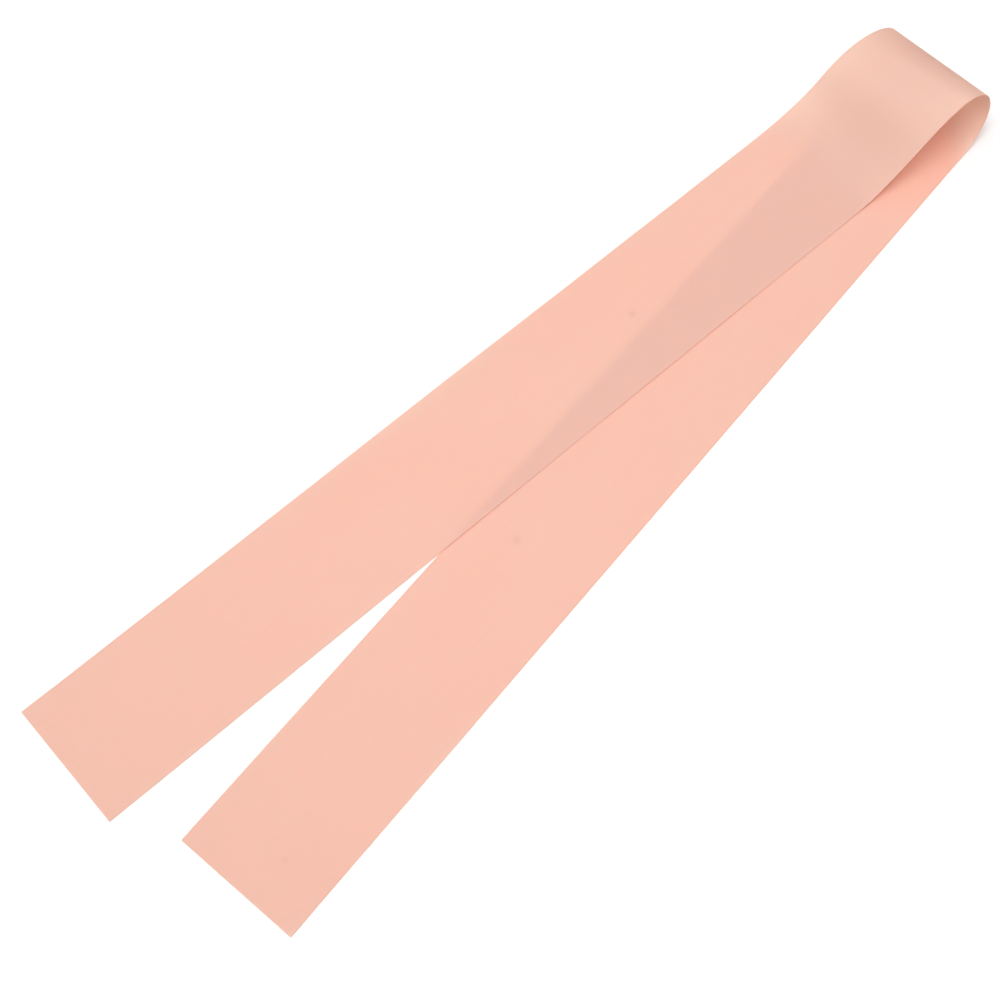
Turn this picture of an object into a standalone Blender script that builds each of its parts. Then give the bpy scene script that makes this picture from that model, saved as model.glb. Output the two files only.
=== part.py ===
"""Satin sash, laid on a table and turned back over itself in a loose loop.

The sash is one straight strip of satin ribbon cloth with two square cut ends. Its under strand lies
flat, the strip rises in an uncreased loop, and the over strand comes back on top of it and fans out to
the left, so that the two ends lie side by side. The three stretches are separate closed walls.

Metres, +Z up. +Y runs along the sash from its ends to the loop, and +X across it, along the fold.
"""

from collections import namedtuple
from math import cos, pi, radians, sin

import bmesh
import bpy
import numpy as np

MM = 0.001

# Driving sizes of the strip
WIDTH = 95 * MM
WALL = 1.0 * MM
SEAM_GAP = 0.3 * MM
UNDER_LENGTH = 728 * MM
OVER_LENGTH = 647 * MM

# How it lies: each strand is turned by the half fan angle away from the Y axis
HALF_FAN = radians(4.39)
OVER_CLEARANCE = 0.3 * MM

# The over strand rests on the under strand and eases down to the table beside it
EASE_STARTS = 6 * MM
EASE_WIDTH = 30 * MM
EASE_BUILDS_OVER = 110 * MM

# The strip through the loop: distance along the strip in mm, bend in turns of 1 / radius (1 / m), and
# skew, the angle in degrees by which the line of the bend leans from square across the strip
FoldRow = namedtuple("FoldRow", "place along bend skew")
FOLD = (
    FoldRow("seam with the under strand", 0, 0.0, 0),
    FoldRow("lifts off the table", 30, 0.0, -26),
    FoldRow("starts to rise", 44, 22.5, -21),
    FoldRow("foot of the turn", 60, 46.5, -13),
    FoldRow("tip of the turn", 85, 46.5, -1),
    FoldRow("shoulder", 110, 27.0, -5),
    FoldRow("crown", 135, 19.5, -17),
    FoldRow("tips over", 160, 10.5, -10),
    FoldRow("straight run down", 180, -9.5, 0),
    FoldRow("flattens", 200, -13.5, 10),
    FoldRow("last of the slope", 225, -9.5, 2),
    FoldRow("lies on the under strand", 255, 0.0, -12),
    FoldRow("seam with the over strand", 275, 0.0, 0),
)
# Rows whose bends and skews are trimmed so that the strip lands flat, at its height and heading
TRIMMED_BENDS = (6, 9)
TRIMMED_SKEWS = (4, 6)

# How finely the walls are divided
FOLD_STATIONS = 88
STEPS_PER_STATION = 3
FOLD_COLUMNS = 6
UNDER_STATIONS = 12
OVER_STATIONS = 44
STRAND_COLUMNS = 8

# Satin: colour and finish of the cloth
SATIN_COLOUR = (0.913, 0.558, 0.447, 1.0)
SATIN_ROUGHNESS = 0.42
SATIN_SHEEN = 0.3


def clear_scene():
    for thing in list(bpy.data.objects):
        bpy.data.objects.remove(thing, do_unlink=True)


def satin(name):
    """A plain satin material for one stretch of the cloth."""
    material = bpy.data.materials.new(name)
    material.use_nodes = True
    shader = material.node_tree.nodes["Principled BSDF"]
    shader.inputs["Base Color"].default_value = SATIN_COLOUR
    shader.inputs["Roughness"].default_value = SATIN_ROUGHNESS
    shader.inputs["Metallic"].default_value = 0.0
    shader.inputs["Sheen Weight"].default_value = SATIN_SHEEN
    return material


def smooth_step(value):
    t = np.clip(value, 0.0, 1.0)
    return t * t * (3 - 2 * t)


def turned(vector, axis):
    """The vector turned about the axis by the axis's own length in radians."""
    angle = np.linalg.norm(axis)
    if angle < 1e-12:
        return vector
    unit = axis / angle
    across = np.cross(unit, vector)
    return vector * cos(angle) + across * sin(angle) + unit * np.dot(unit, vector) * (1 - cos(angle))


def under_heading():
    """Directions on the under strand: along it towards the loop, up, and across it to the right."""
    along = np.array([-sin(HALF_FAN), cos(HALF_FAN), 0.0])
    up = np.array([0.0, 0.0, 1.0])
    return along, up, np.cross(along, up)


def fold_path(bends, skews):
    """Centre points, inward normals and bend lines of the strip through the loop, station by station."""
    steps = FOLD_STATIONS * STEPS_PER_STATION
    at = [row.along for row in FOLD]
    distances = np.linspace(at[0], at[-1], steps + 1)
    step = (distances[1] - distances[0]) * MM
    bend = np.interp(distances, at, bends)
    lean = np.tan(np.radians(np.interp(distances, at, skews)))
    along, inward, across = under_heading()
    centre = np.array([0.0, 0.0, WALL / 2])
    centres = [centre]
    normals = [inward]
    lines = [across + lean[0] * along]
    for i in range(steps):
        mean_bend = (bend[i] + bend[i + 1]) / 2
        mean_lean = (lean[i] + lean[i + 1]) / 2
        axis = mean_bend * step * (across + mean_lean * along)
        new_along = turned(along, axis)
        centre = centre + step * (along + new_along) / 2
        along = new_along
        inward = turned(inward, axis)
        across = turned(across, axis)
        centres.append(centre)
        normals.append(inward)
        lines.append(across + lean[i + 1] * along)
    keep = slice(None, None, STEPS_PER_STATION)
    return np.array(centres)[keep], np.array(normals)[keep], np.array(lines)[keep], along


def landing_faults(trims):
    """How far the strip's last station is from flat, from its heading and from its height."""
    bends, skews = trimmed(trims)
    centres, normals, _, along = fold_path(bends, skews)
    rest_height = WALL + OVER_CLEARANCE + WALL / 2
    heading = np.array([cos(HALF_FAN), -sin(HALF_FAN), 0.0])
    return np.array([
        normals[-1][0],
        normals[-1][1],
        np.dot(along, heading),
        (centres[-1][2] - rest_height) / WIDTH,
    ])


def trimmed(trims):
    """The table's bends and skews with the trims added to the trimmed rows."""
    bends = np.array([row.bend for row in FOLD], dtype=float)
    skews = np.array([row.skew for row in FOLD], dtype=float)
    bends[list(TRIMMED_BENDS)] += trims[:2]
    skews[list(TRIMMED_SKEWS)] += trims[2:]
    return bends, skews


def settled_trims():
    """Newton's method on the landing: the small trims that make the strip lie flat after the loop."""
    trims = np.zeros(4)
    nudge = 1e-4
    for _ in range(12):
        faults = landing_faults(trims)
        if np.abs(faults).max() < 1e-9:
            break
        slopes = np.empty((4, 4))
        for column in range(4):
            moved = trims.copy()
            moved[column] += nudge
            slopes[:, column] = (landing_faults(moved) - faults) / nudge
        trims = trims - np.linalg.solve(slopes, faults)
    return trims


def fold_wall():
    """Middle surface of the loop: a row of points along each bend line."""
    centres, normals, lines, _ = fold_path(*trimmed(settled_trims()))
    shares = np.linspace(-0.5, 0.5, FOLD_COLUMNS + 1)
    points = centres[:, None, :] + shares[None, :, None] * WIDTH * lines[:, None, :]
    facing = np.repeat(normals[:, None, :], FOLD_COLUMNS + 1, axis=1)
    return points, facing


def strand_grid(start, along, across, length, stations):
    """Points of a straight strand that starts square across at a centre point."""
    distances = np.linspace(0.0, length, stations + 1)
    shares = np.linspace(-0.5, 0.5, STRAND_COLUMNS + 1)
    points = start + distances[:, None, None] * along + shares[None, :, None] * WIDTH * across
    return points, distances


def under_wall():
    """Middle surface of the under strand, flat on the table."""
    along, up, across = under_heading()
    start = np.array([0.0, 0.0, WALL / 2]) - SEAM_GAP * along
    points, _ = strand_grid(start, -along, across, UNDER_LENGTH, UNDER_STATIONS)
    return points, np.broadcast_to(up, points.shape)


def over_wall(landing):
    """Middle surface of the over strand: level on the under strand, eased down to the table beside it."""
    back = np.array([-sin(HALF_FAN), -cos(HALF_FAN), 0.0])
    across = np.array([cos(HALF_FAN), -sin(HALF_FAN), 0.0])
    start = landing + SEAM_GAP * back
    points, distances = strand_grid(start, back, across, OVER_LENGTH, OVER_STATIONS)
    _, _, under_across = under_heading()
    beside = -WIDTH / 2 - points @ under_across
    ease = smooth_step((beside - EASE_STARTS) / EASE_WIDTH)
    build = smooth_step(distances / EASE_BUILDS_OVER)[:, None]
    points[:, :, 2] -= (WALL + OVER_CLEARANCE) * ease * build
    return points, np.broadcast_to(np.array([0.0, 0.0, -1.0]), points.shape)


def cloth_object(name, points, facing, offset):
    """A closed wall of cloth around a grid of middle points, with its own material."""
    stations, columns, _ = points.shape
    mesh = bmesh.new()
    sides = []
    for share in (-0.5, 0.5):
        layer = points + share * WALL * facing - offset
        sides.append([[mesh.verts.new(point) for point in row] for row in layer])
    outer, inner = sides
    for i in range(stations - 1):
        for j in range(columns - 1):
            for side in sides:
                corners = (side[i][j], side[i + 1][j], side[i + 1][j + 1], side[i][j + 1])
                mesh.faces.new(corners)
    for i in range(stations - 1):
        for j in (0, columns - 1):
            mesh.faces.new((outer[i][j], outer[i + 1][j], inner[i + 1][j], inner[i][j]))
    for j in range(columns - 1):
        for i in (0, stations - 1):
            mesh.faces.new((outer[i][j], outer[i][j + 1], inner[i][j + 1], inner[i][j]))
    bmesh.ops.recalc_face_normals(mesh, faces=mesh.faces)
    data = bpy.data.meshes.new(name)
    mesh.to_mesh(data)
    mesh.free()
    data.materials.append(satin(name))
    data.shade_smooth()
    data.set_sharp_from_angle(angle=pi / 4)
    thing = bpy.data.objects.new(name, data)
    bpy.context.scene.collection.objects.link(thing)
    return thing


def base_centre(walls):
    """Middle of the whole sash's bounding box at the level of the table."""
    faces = [points + share * WALL * facing for points, facing in walls for share in (-0.5, 0.5)]
    every = np.concatenate([layer.reshape(-1, 3) for layer in faces])
    low = every.min(axis=0)
    high = every.max(axis=0)
    return np.array([(low[0] + high[0]) / 2, (low[1] + high[1]) / 2, low[2]])


def main():
    clear_scene()
    loop = fold_wall()
    landing = loop[0][-1].mean(axis=0)
    walls = {
        "under_strand": under_wall(),
        "fold_loop": loop,
        "over_strand": over_wall(landing),
    }
    offset = base_centre(walls.values())
    for name, (points, facing) in walls.items():
        cloth_object(name, points, facing, offset)


main()
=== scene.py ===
# %% [markdown]
# # A satin sash laid in a loose loop
# The sash is one long strip of pink satin ribbon cloth with two square cut ends. It lies on a pale table,
# rises at its far end in an uncreased loop, and comes back over itself, so that both ends lie side by side.
# The CAD model already says where each stretch of the strip lies. This lesson dresses it: one thin woven
# strip takes the place of the three CAD walls, and gets its weave, its selvedges and its sealed ends.
# We begin by loading the CAD frame.

from collections import namedtuple
from math import atan2, cos, degrees, radians, sin

import bmesh
import bpy
import numpy as np
from mathutils import Matrix, Vector


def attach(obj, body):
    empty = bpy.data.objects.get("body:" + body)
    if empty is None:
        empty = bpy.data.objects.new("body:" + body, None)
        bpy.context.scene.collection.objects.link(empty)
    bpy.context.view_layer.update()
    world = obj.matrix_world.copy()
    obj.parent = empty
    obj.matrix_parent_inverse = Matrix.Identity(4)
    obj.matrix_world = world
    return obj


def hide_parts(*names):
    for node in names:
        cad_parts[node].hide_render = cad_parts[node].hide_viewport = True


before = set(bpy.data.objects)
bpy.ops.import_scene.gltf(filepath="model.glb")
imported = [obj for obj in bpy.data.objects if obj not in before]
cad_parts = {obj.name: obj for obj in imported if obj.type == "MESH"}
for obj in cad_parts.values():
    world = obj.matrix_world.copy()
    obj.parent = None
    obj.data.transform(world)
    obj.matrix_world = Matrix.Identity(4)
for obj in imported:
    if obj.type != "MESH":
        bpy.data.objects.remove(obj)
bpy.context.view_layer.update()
MM = 0.001
print("CAD nodes:", ", ".join(sorted(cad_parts)))

# %% [markdown]
# ## The sizes of the strip
# A sash like this is cut from a roll of satin ribbon, so it has one width all along. We draw the cloth
# about a third of a millimetre thick, a little more than such ribbon has and much less than the CAD wall
# that stands for it in collisions. Each strand is turned by half of the fan angle away from the Y axis,
# which is why the ends lie apart. The sizes of how it lies are the ones that the CAD source uses.

# %% Sizes of the cloth and of how it lies
WIDTH = 95 * MM
CLOTH = 0.36 * MM
UNDER_LENGTH = 728 * MM
OVER_LENGTH = 647 * MM
HALF_FAN = radians(4.39)
SELVEDGE_SWELL = 1.35

# Middle of the cloth above the table: at rest on it, and where the over strand lies on the under strand
ON_TABLE = 0.30 * MM
ON_TOP = 0.86 * MM

# The same two heights in the CAD walls, which are thicker
CAD_ON_TABLE = 0.5 * MM
CAD_ON_TOP = 1.8 * MM

# The over strand eases down to the table beside the under strand
EASE_STARTS = 6 * MM
EASE_WIDTH = 30 * MM
EASE_BUILDS_OVER = 110 * MM

# Middle of the CAD footprint, in the strip's own coordinates, whose origin is where the loop begins
FOOTPRINT_MIDDLE = np.array([-12.243, -341.618, 0.0]) * MM

FoldRow = namedtuple("FoldRow", "place along bend skew")
# Distance along the strip in mm, bend as 1 / radius in 1 / m, and the lean of the bend line in degrees.
# The four long numbers are the ones that the CAD source trims until the strip lands flat.
FOLD = (
    FoldRow("leaves the under strand", 0, 0.0, 0),
    FoldRow("lifts off the table", 30, 0.0, -26),
    FoldRow("starts to rise", 44, 22.5, -21),
    FoldRow("foot of the turn", 60, 46.5, -13),
    FoldRow("tip of the turn", 85, 46.5, -0.6540842),
    FoldRow("shoulder", 110, 27.0, -5),
    FoldRow("crown", 135, 19.4703361, -16.8787801),
    FoldRow("tips over", 160, 10.5, -10),
    FoldRow("straight run down", 180, -9.5, 0),
    FoldRow("flattens", 200, -13.4594596, 10),
    FoldRow("last of the slope", 225, -9.5, 2),
    FoldRow("lies on the under strand", 255, 0.0, -12),
    FoldRow("joins the over strand", 275, 0.0, 0),
)
LOOP_LENGTH = FOLD[-1].along * MM

# %% [markdown]
# ## The path of the strip
# Cloth like this bends but hardly stretches, so a bent ribbon is always made of straight lines laid side by
# side, and each small step only turns the strip about the next of those lines. A simulation could find the
# loop, but its result would wander from the CAD walls. We walk along the strip in steps of one millimetre
# instead, with the bend and the lean of the bend line read from the table, as the CAD source does.
# The walk gives a centre point, the side that faces into the loop, and the bend line at each station.

# %% Walk round the loop
def smooth_step(value):
    t = np.clip(value, 0.0, 1.0)
    return t * t * (3 - 2 * t)


def turned(vector, axis):
    """The vector turned about the axis by the axis's own length in radians."""
    angle = np.linalg.norm(axis)
    if angle < 1e-12:
        return vector
    unit = axis / angle
    level = unit * np.dot(unit, vector) * (1 - cos(angle))
    return vector * cos(angle) + np.cross(unit, vector) * sin(angle) + level


UP = np.array([0.0, 0.0, 1.0])
UNDER_ALONG = np.array([-sin(HALF_FAN), cos(HALF_FAN), 0.0])
UNDER_ACROSS = np.array([cos(HALF_FAN), sin(HALF_FAN), 0.0])
OVER_ALONG = np.array([-sin(HALF_FAN), -cos(HALF_FAN), 0.0])
OVER_ACROSS = np.array([cos(HALF_FAN), -sin(HALF_FAN), 0.0])


def loop_stations(steps=264):
    """Distance, centre, inward side, bend line and lean at every step through the loop."""
    places = np.array([row.along for row in FOLD]) * MM
    distances = np.linspace(0.0, LOOP_LENGTH, steps + 1)
    step = distances[1]
    bend = np.interp(distances, places, [row.bend for row in FOLD])
    lean = np.tan(np.radians(np.interp(distances, places, [row.skew for row in FOLD])))
    along, inward, across = UNDER_ALONG, UP, UNDER_ACROSS
    centre = np.array([0.0, 0.0, CAD_ON_TABLE])
    rows = [(centre, inward, across + lean[0] * along)]
    for i in range(steps):
        mean_lean = (lean[i] + lean[i + 1]) / 2
        axis = (bend[i] + bend[i + 1]) / 2 * step * (across + mean_lean * along)
        new_along = turned(along, axis)
        centre = centre + step * (along + new_along) / 2
        along, inward, across = new_along, turned(inward, axis), turned(across, axis)
        rows.append((centre, inward, across + lean[i + 1] * along))
    centres, inwards, lines = (np.array(column) for column in zip(*rows))
    return distances, centres, inwards, lines, lean


distances, centres, inwards, lines, leans = loop_stations()
landing = centres[-1]
loop_height = round(centres[:, 2].max() / MM, 1)
print("the loop lands at mm:", (landing / MM).round(2), "and its middle line is", loop_height, "mm high")

# %% [markdown]
# ## Stations along the whole strip
# The two strands are straight, so their stations only need a start and a direction. Near each cut end the
# stations crowd together, because a ribbon is cut with a hot blade, which melts its last half millimetre
# into a thin firm bead: the cloth swells a little there and then closes to an edge. Two more numbers go
# with each station. One says how far unevenness may lift the cloth there, with its sign, because the side
# that faces up changes in the loop. The other says how much of the easing down to the table applies.

# %% Stations of the strands, the loop and the sealed ends
SEAL_AT = np.array([0.0, 0.05, 0.15, 0.35, 0.7, 1.2]) * MM
SEAL_SWELL = np.array([0.0, 0.75, 1.15, 1.3, 1.15, 1.0])


def strand_distances(length, spacing=2.6 * MM):
    """Distances from the loop to the cut end, closer together in the sealed edge."""
    plain = length - SEAL_AT[-1]
    even = np.linspace(0.0, plain, round(plain / spacing) + 1)
    return np.concatenate([even, (length - SEAL_AT[:-1])[::-1]])


def swell_at(from_cut):
    return np.interp(from_cut, SEAL_AT, SEAL_SWELL)


under_d = strand_distances(UNDER_LENGTH)[:0:-1]
over_d = strand_distances(OVER_LENGTH)[1:]

flat_along = np.concatenate([-under_d, distances, LOOP_LENGTH + over_d])
settle_first = CAD_ON_TABLE - ON_TABLE
settle_last = CAD_ON_TOP - ON_TOP
settle = settle_first + smooth_step(distances / LOOP_LENGTH) * (settle_last - settle_first)
under_centres = np.array([0, 0, ON_TABLE]) - under_d[:, None] * UNDER_ALONG
loop_centres = centres - settle[:, None] * UP
over_start = np.array([landing[0], landing[1], ON_TOP])
over_centres = over_start + over_d[:, None] * OVER_ALONG

station_centre = np.concatenate([under_centres, loop_centres, over_centres]) - FOOTPRINT_MIDDLE
station_facing = np.concatenate([
    np.tile(UP, (len(under_d), 1)),
    inwards,
    np.tile(-UP, (len(over_d), 1)),
])
station_line = np.concatenate([
    np.tile(UNDER_ACROSS, (len(under_d), 1)),
    lines,
    np.tile(OVER_ACROSS, (len(over_d), 1)),
])
station_lean = np.concatenate([np.zeros(len(under_d)), leans, np.zeros(len(over_d))])
station_swell = np.concatenate([
    swell_at(UNDER_LENGTH - under_d),
    np.ones(len(distances)),
    swell_at(OVER_LENGTH - over_d),
])

# The under strand may only lift where the over strand doesn't lie on it, and the turn of the loop is taut
COVERED_UP_TO = 500 * MM
LOOSENS_OVER = 60 * MM
TURN_AT = 105 * MM
TAUT_WITHIN = 30 * MM
TAUT_EASES_OVER = 90 * MM
LANDING_SHARE = 0.55
under_loose = smooth_step((under_d - COVERED_UP_TO) / LOOSENS_OVER)
from_turn = np.abs(distances - TURN_AT)
loop_loose = LANDING_SHARE * smooth_step((from_turn - TAUT_WITHIN) / TAUT_EASES_OVER)
loop_side = np.where(distances < TURN_AT, 0.0, -1.0)
over_loose = LANDING_SHARE + (1 - LANDING_SHARE) * smooth_step(over_d / LOOSENS_OVER)
station_lift = np.concatenate([under_loose, loop_side * loop_loose, -over_loose])
station_ease = np.concatenate([
    np.zeros(len(under_d) + len(distances)),
    smooth_step(over_d / EASE_BUILDS_OVER),
])
print("stations along the strip:", len(flat_along))

# %% [markdown]
# ## The cut section of the cloth
# Seen end on, the ribbon is a long thin slot with rounded ends. A woven ribbon has a selvedge on each side:
# the last millimetre, where the weft threads turn back, is denser and a little thicker. We make the
# section as a closed ring of points. Each point holds its share of the width and its height in half
# thicknesses, so that the same ring serves for any width and any cloth.

# %% The ring of points round the section
EDGE_INSET = np.array([0.04, 0.15, 0.45, 0.9, 1.3, 2.0]) * MM
EDGE_HEIGHT = np.array([0.6, 1.1, SELVEDGE_SWELL, 1.3, 1.04, 1.0])
EVEN_FROM = 4.5 * MM
COLUMNS = 29

half = WIDTH / 2
inner = np.linspace(-half + EVEN_FROM, half - EVEN_FROM, COLUMNS)
top_across = np.concatenate([-half + EDGE_INSET, inner, half - EDGE_INSET[::-1]])
top_height = np.concatenate([EDGE_HEIGHT, np.ones(COLUMNS), EDGE_HEIGHT[::-1]])
ring_across = np.concatenate([[-half], top_across, [half], top_across[::-1]])
ring_height = np.concatenate([[0.0], -top_height, [0.0], top_height[::-1]])


def points_object(name, points, **attributes):
    """An object of loose points, each carrying its own numbers or vectors."""
    data = bpy.data.meshes.new(name)
    data.from_pydata([tuple(point) for point in points], [], [])
    for label, values in attributes.items():
        values = np.asarray(values, dtype=float)
        kind, field = ("FLOAT_VECTOR", "vector") if values.ndim == 2 else ("FLOAT", "value")
        data.attributes.new(label, kind, "POINT").data.foreach_set(field, values.ravel())
    thing = bpy.data.objects.new(name, data)
    bpy.context.scene.collection.objects.link(thing)
    return thing


ring_points = np.stack([ring_across / WIDTH, ring_height, np.zeros(len(ring_across))], axis=1)
section = points_object("cloth_section", ring_points)
spine = points_object(
    "satin_sash",
    station_centre,
    facing=station_facing,
    line=station_line,
    along=flat_along,
    lean=station_lean,
    swell=station_swell,
    lift=station_lift,
    ease=station_ease,
)
print("points round the section:", len(ring_points), "- on the spine:", len(station_centre))

# %% [markdown]
# ## Helpers for node trees
# Geometry nodes and shader nodes are wired in the same way, so a few short helpers serve for both. The
# first adds a node, the second links a value or writes a plain number, and the rest are sums on fields.

# %% Small helpers for wiring nodes
def add(tree, kind, **settings):
    new = tree.nodes.new(kind)
    for name, value in settings.items():
        setattr(new, name, value)
    return new


def feed(tree, socket, value):
    """Links another node's output to the socket, or writes a plain value there."""
    if isinstance(value, bpy.types.NodeSocket):
        tree.links.new(value, socket)
    else:
        socket.default_value = value


def calc(tree, operation, *values):
    maths = add(tree, "ShaderNodeMath", operation=operation)
    for socket, value in zip(maths.inputs, values):
        feed(tree, socket, value)
    return maths.outputs["Value"]


def vector_calc(tree, operation, *values):
    """A vector sum. A scale takes a vector and a number; a dot product and a distance give a number."""
    maths = add(tree, "ShaderNodeVectorMath", operation=operation)
    sockets = [maths.inputs[0], maths.inputs["Scale"]] if operation == "SCALE" else maths.inputs
    for socket, value in zip(sockets, values):
        feed(tree, socket, value)
    return maths.outputs["Value" if operation in ("DOT_PRODUCT", "DISTANCE") else "Vector"]


def eased(tree, value, start, end):
    """Rises smoothly from 0 to 1 while the value goes from start to end."""
    step = add(tree, "ShaderNodeMapRange", interpolation_type="SMOOTHSTEP")
    feed(tree, step.inputs["Value"], value)
    feed(tree, step.inputs["From Min"], start)
    feed(tree, step.inputs["From Max"], end)
    return step.outputs["Result"]


def new_tree(name, inputs, outputs):
    """An empty geometry tree with named sockets, and its input and output nodes."""
    tree = bpy.data.node_groups.new(name, "GeometryNodeTree")
    for label, kind in inputs:
        tree.interface.new_socket(label, in_out="INPUT", socket_type="NodeSocket" + kind)
    for label, kind in outputs:
        tree.interface.new_socket(label, in_out="OUTPUT", socket_type="NodeSocket" + kind)
    return tree, add(tree, "NodeGroupInput").outputs, add(tree, "NodeGroupOutput").inputs


# %% [markdown]
# ## One soft ridge
# Ribbon that has been on a roll and folded in a bag keeps faint marks: a low ridge across it here and
# there, and an edge that stands a millimetre or two off the table. They are too soft to be called creases,
# but they are what keeps the satin from looking like card. Each one is a small hill on the flat strip,
# narrow one way and long the other way, so one node group with a few inputs makes them all.

# %% The node group of a ridge
ridge_tree, ridge_in, ridge_out = new_tree(
    "soft_ridge",
    [("Along", "Float"), ("Across", "Float"), ("At Along", "Float"), ("At Across", "Float"),
     ("Turn", "Float"), ("Half Width", "Float"), ("Reach", "Float"), ("Height", "Float")],
    [("Height", "Float")],
)
from_along = calc(ridge_tree, "SUBTRACT", ridge_in["Along"], ridge_in["At Along"])
from_across = calc(ridge_tree, "SUBTRACT", ridge_in["Across"], ridge_in["At Across"])
turn_cos = calc(ridge_tree, "COSINE", ridge_in["Turn"])
turn_sin = calc(ridge_tree, "SINE", ridge_in["Turn"])
over_ridge = calc(
    ridge_tree, "ADD",
    calc(ridge_tree, "MULTIPLY", from_along, turn_cos),
    calc(ridge_tree, "MULTIPLY", from_across, turn_sin),
)
down_ridge = calc(
    ridge_tree, "SUBTRACT",
    calc(ridge_tree, "MULTIPLY", from_across, turn_cos),
    calc(ridge_tree, "MULTIPLY", from_along, turn_sin),
)
spread = calc(
    ridge_tree, "ADD",
    calc(ridge_tree, "POWER", calc(ridge_tree, "DIVIDE", over_ridge, ridge_in["Half Width"]), 2.0),
    calc(ridge_tree, "POWER", calc(ridge_tree, "DIVIDE", down_ridge, ridge_in["Reach"]), 2.0),
)
hill = calc(ridge_tree, "EXPONENT", calc(ridge_tree, "MULTIPLY", spread, -1.0))
feed(ridge_tree, ridge_out["Height"], calc(ridge_tree, "MULTIPLY", hill, ridge_in["Height"]))

Ridge = namedtuple("Ridge", "place along across turn half_width reach height")
# Places on the flat strip in mm, from where the loop begins and from the middle, turn in degrees
RIDGES = (
    Ridge("faint fold below the loop", 304, 2, 4, 7, 60, 0.35),
    Ridge("second faint fold", 487, 32, -8, 6, 20, 0.30),
    Ridge("soft bend of the over strand", 712, -10, 7, 26, 60, 0.35),
    Ridge("left edge off the table", 560, -50, 0, 95, 16, 1.8),
    Ridge("left edge near the loop", 372, -50, 0, 38, 13, 0.8),
    Ridge("right edge off the under strand", 606, 50, 0, 42, 10, 0.55),
    Ridge("right edge nearer the loop", 398, 50, 0, 62, 10, 0.50),
    Ridge("right edge before the cut", 852, 50, 0, 40, 12, 0.7),
    Ridge("corner of the over strand's end", 915, -50, 40, 14, 22, 0.8),
    Ridge("soft bend of the under strand", -612, 6, -5, 28, 60, 0.35),
    Ridge("left edge of the under strand", -650, -50, 0, 45, 12, 0.8),
    Ridge("right edge of the under strand", -585, 50, 0, 60, 14, 0.9),
    Ridge("corner of the under strand's end", -722, 50, 45, 12, 20, 0.7),
)
print("soft ridges on the strip:", len(RIDGES))

# %% [markdown]
# ## The strip as a geometry tree
# The strip could be drawn as a plane with a Curve modifier, but that always bends square across, and the
# real loop bends along slanting lines. So the tree lays out a plain grid, one row for each station and one
# column for each point of the section. Every grid point looks up its station and its place on the section,
# and moves there. Then it gets its lift, its easing to the table, and its flat place on the cloth as a UV
# map in metres, which the weave follows later. The first and the last column fall on each other, and so
# do the two faces at a cut end, and merging them closes the mesh.

# %% Build the tree of the strip
strip_tree, strip_in, strip_out = new_tree(
    "woven_strip",
    [("Geometry", "Geometry"), ("Section", "Object"), ("Width", "Float"), ("Thickness", "Float"),
     ("Step Height", "Float"), ("Ease Starts", "Float"), ("Ease Width", "Float"),
     ("Ripple Height", "Float"), ("Ripple Size", "Float"), ("Seed", "Float"), ("Finish", "Material")],
    [("Geometry", "Geometry")],
)


def point_count(tree, geometry):
    size = add(tree, "GeometryNodeAttributeDomainSize", component="MESH")
    feed(tree, size.inputs["Geometry"], geometry)
    return size.outputs["Point Count"]


def looked_up(tree, geometry, field, index, kind):
    """The value of a field at one numbered point of other geometry."""
    sample = add(tree, "GeometryNodeSampleIndex", data_type=kind, domain="POINT", clamp=True)
    feed(tree, sample.inputs["Geometry"], geometry)
    feed(tree, sample.inputs["Value"], field)
    feed(tree, sample.inputs["Index"], index)
    return sample.outputs["Value"]


def named(tree, label, kind):
    attribute = add(tree, "GeometryNodeInputNamedAttribute", data_type=kind)
    attribute.inputs["Name"].default_value = label
    return attribute.outputs["Attribute"]


def split(tree, vector):
    parts = add(tree, "ShaderNodeSeparateXYZ")
    feed(tree, parts.inputs[0], vector)
    return parts.outputs


section_info = add(strip_tree, "GeometryNodeObjectInfo")
feed(strip_tree, section_info.inputs["Object"], strip_in["Section"])
ring = section_info.outputs["Geometry"]
ring_count = point_count(strip_tree, ring)
row_length = calc(strip_tree, "ADD", ring_count, 1.0)

grid = add(strip_tree, "GeometryNodeMeshGrid")
feed(strip_tree, grid.inputs["Vertices X"], point_count(strip_tree, strip_in["Geometry"]))
feed(strip_tree, grid.inputs["Vertices Y"], row_length)

number = add(strip_tree, "GeometryNodeInputIndex").outputs["Index"]
station = calc(strip_tree, "FLOOR", calc(strip_tree, "DIVIDE", number, row_length))
column = calc(strip_tree, "MODULO", calc(strip_tree, "MODULO", number, row_length), ring_count)

position = add(strip_tree, "GeometryNodeInputPosition").outputs["Position"]


def at_station(label, kind="FLOAT"):
    field = position if label == "centre" else named(strip_tree, label, kind)
    return looked_up(strip_tree, strip_in["Geometry"], field, station, kind)


place = split(strip_tree, looked_up(strip_tree, ring, position, column, "FLOAT_VECTOR"))
across = calc(strip_tree, "MULTIPLY", place["X"], strip_in["Width"])
slant = calc(strip_tree, "MULTIPLY", across, at_station("lean"))
along = calc(strip_tree, "ADD", at_station("along"), slant)
half_thick = calc(strip_tree, "MULTIPLY", strip_in["Thickness"], 0.5)
even_height = calc(strip_tree, "MULTIPLY", place["Y"], half_thick)
height = calc(strip_tree, "MULTIPLY", even_height, at_station("swell"))

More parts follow.
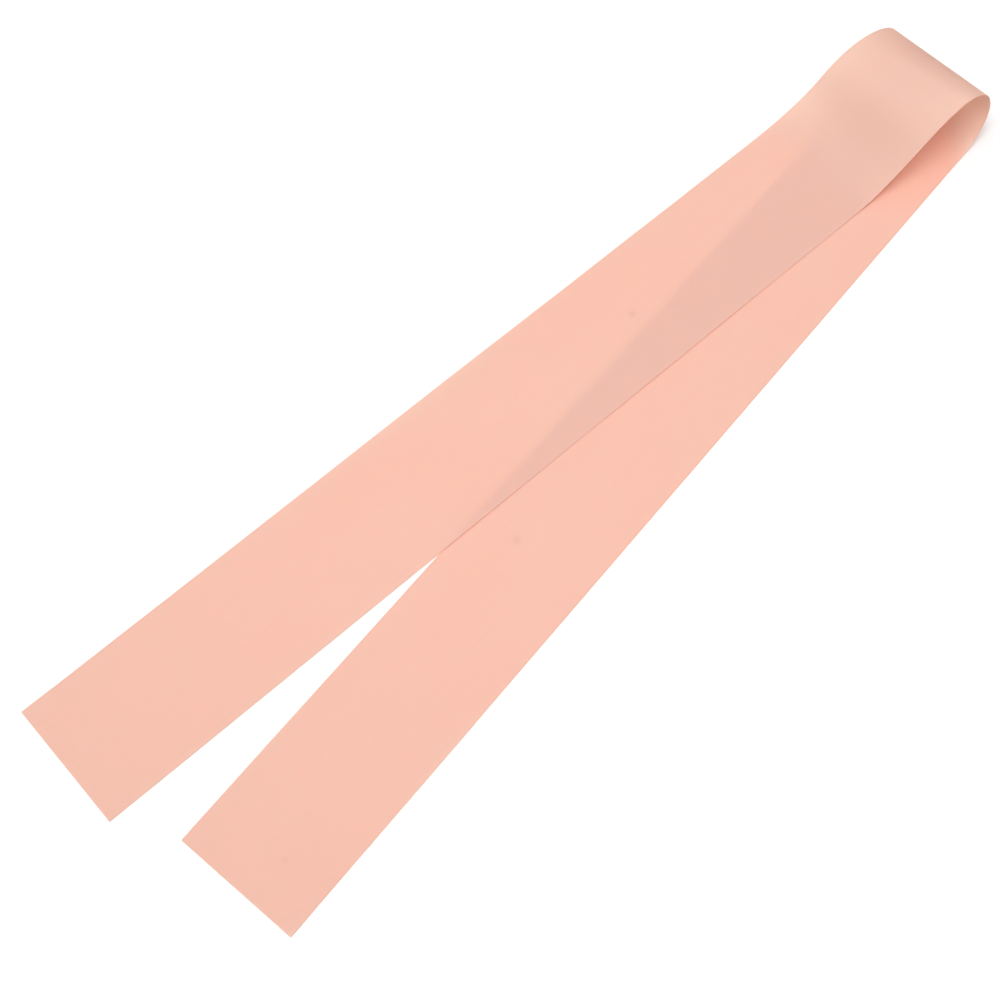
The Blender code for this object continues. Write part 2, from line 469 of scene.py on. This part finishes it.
# %% Unevenness: a slow ripple and the soft ridges
flat_place = add(strip_tree, "ShaderNodeCombineXYZ")
feed(strip_tree, flat_place.inputs["X"], along)
feed(strip_tree, flat_place.inputs["Y"], across)
ripple = add(strip_tree, "ShaderNodeTexNoise", noise_dimensions="4D")
feed(strip_tree, ripple.inputs["Vector"], flat_place.outputs["Vector"])
feed(strip_tree, ripple.inputs["W"], strip_in["Seed"])
feed(strip_tree, ripple.inputs["Scale"], calc(strip_tree, "DIVIDE", 1.0, strip_in["Ripple Size"]))
ripple.inputs["Detail"].default_value = 1.0
ripples = eased(strip_tree, ripple.outputs[0], 0.38, 0.72)
lifted = calc(strip_tree, "MULTIPLY", ripples, strip_in["Ripple Height"])
for row in RIDGES:
    ridge = add(strip_tree, "GeometryNodeGroup", node_tree=ridge_tree, label=row.place)
    feed(strip_tree, ridge.inputs["Along"], along)
    feed(strip_tree, ridge.inputs["Across"], across)
    ridge.inputs["At Along"].default_value = row.along * MM
    ridge.inputs["At Across"].default_value = row.across * MM
    ridge.inputs["Turn"].default_value = radians(row.turn)
    ridge.inputs["Half Width"].default_value = row.half_width * MM
    ridge.inputs["Reach"].default_value = row.reach * MM
    ridge.inputs["Height"].default_value = row.height * MM
    lifted = calc(strip_tree, "ADD", lifted, ridge.outputs["Height"])
uneven = calc(strip_tree, "MULTIPLY", lifted, at_station("lift"))

# %% Put every grid point in its place and close the strip
facing = at_station("facing", "FLOAT_VECTOR")
sideways = vector_calc(strip_tree, "SCALE", at_station("line", "FLOAT_VECTOR"), across)
flat_spot = vector_calc(strip_tree, "ADD", at_station("centre", "FLOAT_VECTOR"), sideways)
outwards = vector_calc(strip_tree, "SCALE", facing, calc(strip_tree, "ADD", height, uneven))
raised = vector_calc(strip_tree, "ADD", flat_spot, outwards)

# How far the point is beyond the left edge of the under strand, which it may then ease down beside
left_edge = -WIDTH / 2 - float(FOOTPRINT_MIDDLE @ UNDER_ACROSS)
across_under = vector_calc(strip_tree, "DOT_PRODUCT", flat_spot, tuple(UNDER_ACROSS))
beside = calc(strip_tree, "SUBTRACT", left_edge, across_under)
ease_ends = calc(strip_tree, "ADD", strip_in["Ease Starts"], strip_in["Ease Width"])
ease = eased(strip_tree, beside, strip_in["Ease Starts"], ease_ends)
eased_here = calc(strip_tree, "MULTIPLY", ease, at_station("ease"))
lowered = calc(strip_tree, "MULTIPLY", eased_here, strip_in["Step Height"])
down = vector_calc(strip_tree, "SCALE", (0.0, 0.0, 1.0), lowered)
final_spot = vector_calc(strip_tree, "SUBTRACT", raised, down)

placed = add(strip_tree, "GeometryNodeSetPosition")
feed(strip_tree, placed.inputs["Geometry"], grid.outputs["Mesh"])
feed(strip_tree, placed.inputs["Position"], final_spot)
# A UV map belongs to face corners, so the place is worked out on the points first and then handed over
on_points = add(strip_tree, "GeometryNodeFieldOnDomain", data_type="FLOAT_VECTOR", domain="POINT")
feed(strip_tree, on_points.inputs["Value"], flat_place.outputs["Vector"])
charted = add(strip_tree, "GeometryNodeStoreNamedAttribute", data_type="FLOAT2", domain="CORNER")
charted.inputs["Name"].default_value = "UVMap"
feed(strip_tree, charted.inputs["Value"], on_points.outputs["Value"])
merged = add(strip_tree, "GeometryNodeMergeByDistance")
merged.inputs["Distance"].default_value = 0.002 * MM
smooth = add(strip_tree, "GeometryNodeSetShadeSmooth")
real = add(strip_tree, "GeometryNodeRealizeInstances")
finished = add(strip_tree, "GeometryNodeSetMaterial")
feed(strip_tree, finished.inputs["Material"], strip_in["Finish"])
feed(strip_tree, charted.inputs["Geometry"], placed.outputs["Geometry"])
feed(strip_tree, merged.inputs["Geometry"], charted.outputs["Geometry"])
feed(strip_tree, smooth.inputs["Geometry"], merged.outputs["Geometry"])
feed(strip_tree, real.inputs["Geometry"], smooth.outputs["Geometry"])
feed(strip_tree, finished.inputs["Geometry"], real.outputs["Geometry"])
feed(strip_tree, strip_out["Geometry"], finished.outputs["Geometry"])
print("nodes in the strip tree:", len(strip_tree.nodes))

# %% [markdown]
# ## The satin
# Satin is woven so that each warp thread floats over several weft threads before it dips under one, and
# the dips of neighbouring threads are kept apart. Long floats lying side by side give the cloth its smooth
# face and its soft shine. The weave here follows the UV map, which counts metres on the flat cloth, so the
# threads run along the strip and turn with it in the loop. The cloth is thin enough for light to come
# through, and that is why it looks duller where it lies over a second layer: a share of a Translucent
# shader does this without painting anything.

# %% Threads and floats of the weave
THREAD = 0.16 * MM
FLOAT_LENGTH = 0.9 * MM
# From one thread's dips to the next one's, and from the middle of a dip to its end, in float lengths
DIP_STEP = 0.4
DIP_HALF = 0.14


def stretched_noise(tree, uv, along_scale, across_scale, detail=2.0):
    """Noise with so many lumps a metre along the threads and across them."""
    mapping = add(tree, "ShaderNodeMapping")
    feed(tree, mapping.inputs["Vector"], uv)
    mapping.inputs["Scale"].default_value = (along_scale, across_scale, 1.0)
    noise = add(tree, "ShaderNodeTexNoise", noise_dimensions="2D")
    feed(tree, noise.inputs["Vector"], mapping.outputs["Vector"])
    noise.inputs["Scale"].default_value = 1.0
    noise.inputs["Detail"].default_value = detail
    return noise.outputs[0]


satin = bpy.data.materials.new("woven_satin")
satin.use_nodes = True
cloth_tree = satin.node_tree
cloth_tree.nodes.clear()
flat_uv = add(cloth_tree, "ShaderNodeUVMap", uv_map="UVMap")
on_cloth = split(cloth_tree, flat_uv.outputs["UV"])
uv_out = flat_uv.outputs["UV"]

# The threads wander a little from side to side
wander = calc(cloth_tree, "MULTIPLY", stretched_noise(cloth_tree, uv_out, 40.0, 150.0, 1.0), 2.0)
thread_at = calc(cloth_tree, "ADD", calc(cloth_tree, "DIVIDE", on_cloth["Y"], THREAD), wander)
thread_number = calc(cloth_tree, "FLOOR", thread_at)
in_thread = calc(cloth_tree, "SUBTRACT", calc(cloth_tree, "FRACT", thread_at), 0.5)
from_middle = calc(cloth_tree, "MULTIPLY", calc(cloth_tree, "ABSOLUTE", in_thread), 2.0)
thread_crown = calc(cloth_tree, "SUBTRACT", 1.0, calc(cloth_tree, "POWER", from_middle, 2.0))

# Each thread dips at places of its own, a fixed step and a random share on from its neighbour's
each_thread = add(cloth_tree, "ShaderNodeTexWhiteNoise", noise_dimensions="1D")
feed(cloth_tree, each_thread.inputs["W"], thread_number)
threads_vary = each_thread.outputs["Value"]
floats_along = calc(cloth_tree, "DIVIDE", on_cloth["X"], FLOAT_LENGTH)
own_start = calc(cloth_tree, "ADD", calc(cloth_tree, "MULTIPLY", thread_number, DIP_STEP), threads_vary)
float_at = calc(cloth_tree, "ADD", floats_along, own_start)
in_float = calc(cloth_tree, "SUBTRACT", calc(cloth_tree, "FRACT", float_at), 0.5)
from_dip = calc(cloth_tree, "SUBTRACT", 0.5, calc(cloth_tree, "ABSOLUTE", in_float))
float_crown = eased(cloth_tree, from_dip, 0.0, DIP_HALF)
weave_height = calc(cloth_tree, "MULTIPLY", thread_crown, float_crown)

# %% [markdown]
# ## Colour, marks and shine
# The dye is even, but a woven cloth never is: single threads are a touch deeper than others, and broad
# areas differ a little. The dips between floats lie in shade, and that shade is painted into the colour
# too, as a deeper tone. The selvedge is denser and so a little deeper in colour, and there are a few
# faint specks. Each of these is a small change of one base colour.
# A thread shines like a thin rod, so satin gleams in a band across its threads. The anisotropic value
# stretches the shine, the tangent tells it which way the threads run, and a quarter turn sets it across.

# %% Colour of the threads
PEACH = (0.944, 0.857, 0.781, 1.0)
DEEPER = (0.961, 0.724, 0.629, 1.0)
THROUGH = (1.0, 0.725, 0.605, 1.0)


def tinted(tree, colour, amount, other):
    """The colour mixed with another one by the amount."""
    mix = add(tree, "ShaderNodeMix", data_type="RGBA")
    feed(tree, mix.inputs["Factor"], amount)
    feed(tree, mix.inputs[6], colour)
    feed(tree, mix.inputs[7], other)
    return mix.outputs[2]


areas_vary = eased(cloth_tree, stretched_noise(cloth_tree, uv_out, 9.0, 14.0), 0.35, 0.75)
from_edge = calc(cloth_tree, "SUBTRACT", WIDTH / 2, calc(cloth_tree, "ABSOLUTE", on_cloth["Y"]))
selvedge = calc(cloth_tree, "SUBTRACT", 1.0, eased(cloth_tree, from_edge, 0.9 * MM, 1.4 * MM))

streaks_vary = eased(cloth_tree, stretched_noise(cloth_tree, uv_out, 7.0, 700.0), 0.40, 0.70)
# Painted shade: the dips between the floats are made deeper in colour, where shade falls between threads
dip_painted_shade = calc(cloth_tree, "SUBTRACT", 1.0, weave_height)

# Where the cloth is deeper in colour, and by how much at most; in the dips this is painted shade
colour = PEACH
for place_field, share in (
    (threads_vary, 0.35),
    (streaks_vary, 0.12),
    (dip_painted_shade, 0.75),
    (areas_vary, 0.12),
    (selvedge, 0.30),
):
    colour = tinted(cloth_tree, colour, calc(cloth_tree, "MULTIPLY", place_field, share), DEEPER)

# %% Specks
Speck = namedtuple("Speck", "along across radius strength")
# Places on the flat strip and radius in mm
SPECKS = (
    Speck(415.2, -0.4, 4.4, 0.20),
    Speck(-428.8, -13.5, 4.4, 0.18),
    Speck(-694.2, 11.8, 3.2, 0.12),
)
SPECK_COLOUR = (0.50, 0.30, 0.25, 1.0)
for speck in SPECKS:
    away = vector_calc(cloth_tree, "DISTANCE", uv_out, (speck.along * MM, speck.across * MM, 0.0))
    near = eased(cloth_tree, away, speck.radius * MM, 0.0)
    colour = tinted(cloth_tree, colour, calc(cloth_tree, "MULTIPLY", near, speck.strength), SPECK_COLOUR)

# %% Shaders of the satin
# The share of the light that goes through the cloth, and how far that light takes the colour THROUGH
SHARE_THROUGH = 0.57
THROUGH_TINT = 0.75

bump = add(cloth_tree, "ShaderNodeBump")
bump.inputs["Strength"].default_value = 0.8
bump.inputs["Distance"].default_value = 0.02 * MM
feed(cloth_tree, bump.inputs["Height"], weave_height)
tangent = add(cloth_tree, "ShaderNodeTangent", direction_type="UV_MAP", uv_map="UVMap")
roughness = calc(cloth_tree, "ADD", 0.40, calc(cloth_tree, "MULTIPLY", areas_vary, 0.06))

face = add(cloth_tree, "ShaderNodeBsdfPrincipled")
feed(cloth_tree, face.inputs["Base Color"], colour)
feed(cloth_tree, face.inputs["Roughness"], roughness)
feed(cloth_tree, face.inputs["Normal"], bump.outputs["Normal"])
feed(cloth_tree, face.inputs["Tangent"], tangent.outputs["Tangent"])
face.inputs["Anisotropic"].default_value = 0.7
face.inputs["Anisotropic Rotation"].default_value = 0.25
face.inputs["Specular IOR Level"].default_value = 0.35
face.inputs["Specular Tint"].default_value = (1.0, 0.82, 0.76, 1.0)
face.inputs["Sheen Weight"].default_value = 0.05
face.inputs["Sheen Roughness"].default_value = 0.4
face.inputs["Sheen Tint"].default_value = (1.0, 0.86, 0.80, 1.0)

through = add(cloth_tree, "ShaderNodeBsdfTranslucent")
feed(cloth_tree, through.inputs["Color"], tinted(cloth_tree, colour, THROUGH_TINT, THROUGH))
both = add(cloth_tree, "ShaderNodeMixShader")
both.inputs[0].default_value = SHARE_THROUGH
feed(cloth_tree, both.inputs[1], face.outputs["BSDF"])
feed(cloth_tree, both.inputs[2], through.outputs["BSDF"])
surface = add(cloth_tree, "ShaderNodeOutputMaterial")
feed(cloth_tree, surface.inputs["Surface"], both.outputs["Shader"])
print("nodes in the satin:", len(cloth_tree.nodes))

# %% [markdown]
# ## Make the sash
# The spine object gets the tree as a modifier. Its inputs are set by each socket's identifier, before
# anything is evaluated. The evaluated mesh is then copied into a plain mesh, the modifier goes, and the
# section object goes too, because only the finished cloth belongs to the part.

# %% Run the tree and keep its mesh
def socket_id(tree, label):
    return next(item.identifier for item in tree.interface.items_tree
                if item.item_type == "SOCKET" and item.in_out == "INPUT" and item.name == label)


weaver = spine.modifiers.new("woven strip", "NODES")
weaver.node_group = strip_tree
for label, value in (
    ("Section", section),
    ("Width", WIDTH),
    ("Thickness", CLOTH),
    ("Step Height", ON_TOP - ON_TABLE),
    ("Ease Starts", EASE_STARTS),
    ("Ease Width", EASE_WIDTH),
    ("Ripple Height", 0.35 * MM),
    ("Ripple Size", 85 * MM),
    ("Seed", 4.0),
    ("Finish", satin),
):
    weaver[socket_id(strip_tree, label)] = value

depsgraph = bpy.context.evaluated_depsgraph_get()
woven = bpy.data.meshes.new_from_object(spine.evaluated_get(depsgraph), depsgraph=depsgraph)
spine.modifiers.clear()
spine.data = woven
sash = spine
bpy.data.objects.remove(section, do_unlink=True)

# %% Measure the sash
check = bmesh.new()
check.from_mesh(woven)
open_edges = sum(not edge.is_manifold for edge in check.edges)
triangles = sum(len(f.verts) - 2 for f in check.faces)
print("triangles:", triangles, "- open or odd edges:", open_edges)
print("volume in cm3:", round(check.calc_volume(signed=True) * 1e6, 2), "- area of both sides in m2:",
      round(sum(f.calc_area() for f in check.faces), 4))
print("lowest point in mm:", round(min(v.co.z for v in check.verts) / MM, 3))
check.free()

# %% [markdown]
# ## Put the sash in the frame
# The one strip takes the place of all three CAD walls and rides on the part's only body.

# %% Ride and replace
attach(sash, "root")
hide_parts("under_strand", "fold_loop", "over_strand")

# %% [markdown]
# ## Floor and light
# The sash lies on a plain pale table, a single large square. Most of the light is a pale sky with one wide
# bright panel nearly overhead, because a sky lights the whole table evenly, right up to the horizon. A
# small lamp over the middle and one on each side add a little more. The last lamp only makes the satin
# gleam along the top of the loop: its diffuse light is switched off, which is a handy way to place a
# highlight without changing the shading.

# %% Table, lamps and sky
def plain_material(name, colour, roughness):
    made = bpy.data.materials.new(name)
    made.use_nodes = True
    shader = made.node_tree.nodes["Principled BSDF"]
    shader.inputs["Base Color"].default_value = colour
    shader.inputs["Roughness"].default_value = roughness
    shader.inputs["Specular IOR Level"].default_value = 0.2
    return made


TABLE_REACH = 8.0
floor_mesh = bpy.data.meshes.new("table")
corners = [(TABLE_REACH * x, TABLE_REACH * y, 0.0) for x, y in ((-1, -1), (1, -1), (1, 1), (-1, 1))]
floor_mesh.from_pydata(corners, [], [(0, 1, 2, 3)])
floor_mesh.materials.append(plain_material("pale_table", (0.985, 0.94, 0.94, 1.0), roughness=0.7))
table = bpy.data.objects.new("table", floor_mesh)
bpy.context.scene.collection.objects.link(table)


# Daylight lamps, a touch cooler than white
LIGHT_COLOUR = (0.94, 1.0, 1.0)


def soft_lamp(name, place, target, size, power):
    light = bpy.data.lights.new(name, "AREA")
    light.shape = "SQUARE"
    light.size = size
    light.energy = power
    light.color = LIGHT_COLOUR
    lamp = bpy.data.objects.new(name, light)
    aim = Vector(target) - Vector(place)
    lamp.rotation_euler = aim.to_track_quat("-Z", "Y").to_euler()
    lamp.location = place
    bpy.context.scene.collection.objects.link(lamp)
    return lamp


soft_lamp("lamp_over", (-0.05, -0.02, 0.9), (-0.05, -0.02, 0.0), size=0.6, power=1.9)
soft_lamp("lamp_right", (1.3, 0.25, 0.8), (0.0, 0.28, 0.0), size=0.9, power=5.0)
soft_lamp("lamp_left", (-1.3, -0.2, 1.0), (-0.05, 0.05, 0.0), size=0.9, power=4.5)

gleam = soft_lamp("lamp_gleam", (-1.05, 1.4, 1.4), (0.0, 0.36, 0.03), size=0.45, power=14.0)
gleam.visible_diffuse = False
gleam.visible_transmission = False

# The sky: its glow at the horizon, what it gains overhead, and the wide bright panel nearly overhead
HORIZON_GLOW = 0.08
OVERHEAD_GLOW = 0.34
PANEL = Vector((-0.085, -0.22, 0.97)).normalized()
PANEL_GLOW = 6.35
PANEL_FALLOFF = 20.0
# What the camera sees behind the table, as bright as the far part of the table
BACKDROP_COLOUR = (0.985, 1.0, 1.0, 1.0)
BACKDROP_GLOW = 0.72

sky = bpy.data.worlds.new("pale_sky")
sky.use_nodes = True
sky_tree = sky.node_tree
sky_light = sky_tree.nodes["Background"]
sky_light.inputs["Color"].default_value = (*LIGHT_COLOUR, 1.0)
looking = add(sky_tree, "ShaderNodeTexCoord").outputs["Generated"]
above = calc(sky_tree, "MAXIMUM", split(sky_tree, looking)["Z"], 0.0)
dome = calc(sky_tree, "MULTIPLY", calc(sky_tree, "POWER", above, 2.0), OVERHEAD_GLOW)
to_panel = calc(sky_tree, "MAXIMUM", vector_calc(sky_tree, "DOT_PRODUCT", looking, tuple(PANEL)), 0.0)
panel = calc(sky_tree, "MULTIPLY", calc(sky_tree, "POWER", to_panel, PANEL_FALLOFF), PANEL_GLOW)
glow = calc(sky_tree, "ADD", calc(sky_tree, "ADD", HORIZON_GLOW, dome), panel)
feed(sky_tree, sky_light.inputs["Strength"], glow)
backdrop = add(sky_tree, "ShaderNodeBackground")
backdrop.inputs["Color"].default_value = BACKDROP_COLOUR
backdrop.inputs["Strength"].default_value = BACKDROP_GLOW
seen_or_lit = add(sky_tree, "ShaderNodeMixShader")
feed(sky_tree, seen_or_lit.inputs[0], add(sky_tree, "ShaderNodeLightPath").outputs["Is Camera Ray"])
feed(sky_tree, seen_or_lit.inputs[1], sky_light.outputs["Background"])
feed(sky_tree, seen_or_lit.inputs[2], backdrop.outputs["Background"])
feed(sky_tree, sky_tree.nodes["World Output"].inputs["Surface"], seen_or_lit.outputs["Shader"])
bpy.context.scene.world = sky
bpy.context.scene.view_settings.view_transform = "Standard"

# Light goes to and fro between the layers of thin cloth, which takes more bounces than usual
bpy.context.scene.cycles.diffuse_bounces = 24
bpy.context.scene.cycles.transmission_bounces = 48
bpy.context.scene.cycles.max_bounces = 48

# %% [markdown]
# ## Camera
# The sash was seen from about 1.2 metres, nearly from above, with the strip running from the lower left of
# the picture to the upper right. The camera is given as a place, a point on the table to look at, and
# the direction on the table that points up in the picture.

# %% Set the camera
CAMERA_PLACE = Vector((0.2373, -0.4075, 1.1436))
CAMERA_TARGET = Vector((0.0028, -0.0742, 0.0))
PICTURE_UP = radians(44.27)
LENS_MM = 62.68
SENSOR_MM = 36.0

view_line = (CAMERA_TARGET - CAMERA_PLACE).normalized()
table_up = Vector((-sin(PICTURE_UP), cos(PICTURE_UP), 0.0))
to_right = view_line.cross(table_up).normalized()
to_top = to_right.cross(view_line)
camera_data = bpy.data.cameras.new("camera")
camera_data.lens = LENS_MM
camera_data.sensor_width = SENSOR_MM
camera = bpy.data.objects.new("camera", camera_data)
turn_matrix = Matrix((to_right, to_top, -view_line)).transposed().to_4x4()
camera.matrix_world = Matrix.Translation(CAMERA_PLACE) @ turn_matrix
bpy.context.scene.collection.objects.link(camera)
bpy.context.scene.camera = camera
looks_down = degrees(atan2(-view_line.z, view_line.xy.length))
print("camera looks down at", round(looks_down, 1), "degrees")
